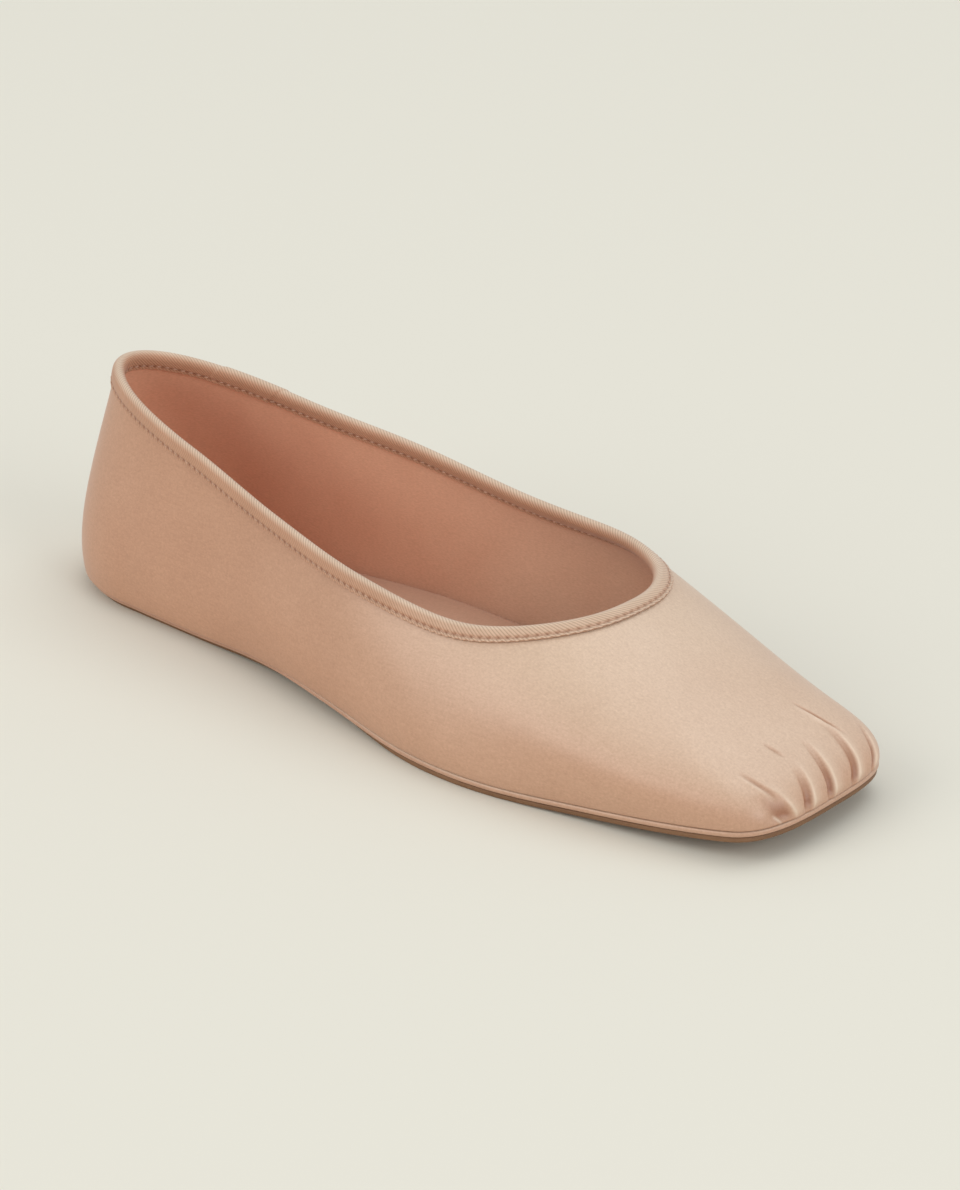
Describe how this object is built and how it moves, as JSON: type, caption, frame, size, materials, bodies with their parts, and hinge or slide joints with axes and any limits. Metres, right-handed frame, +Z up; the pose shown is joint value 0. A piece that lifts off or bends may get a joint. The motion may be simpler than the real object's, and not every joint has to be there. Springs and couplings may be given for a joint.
{
  "type": "ballet flat shoe",
  "caption": "Right-foot ballet flat with a hollow satin upper gathered at a square toe, a bound collar, an insole and a thin covered sole.",
  "frame": {"origin": "centre of the shoe's box in plan, on the floor the sole stands on", "axes": "+X along the shoe from heel to toe, +Y to the inner (medial) side of the foot, +Z up from the floor"},
  "size_m": [0.2516, 0.0822, 0.0597],
  "materials": {
    "satin": "soft satin sheen, nude pink",
    "binding_tape": "twill bias tape, stitched along its lower edge",
    "sock_lining": "matt lining cloth",
    "covered_edge": "satin wrapped over board",
    "sole_leather": "tan sole leather, lightly buffed"
  },
  "bodies": {
    "root": {"upper": "satin", "collar_binding": "binding_tape", "insole": "sock_lining", "covered_midsole": "covered_edge", "outsole": "sole_leather"}
  },
  "joints": []
}
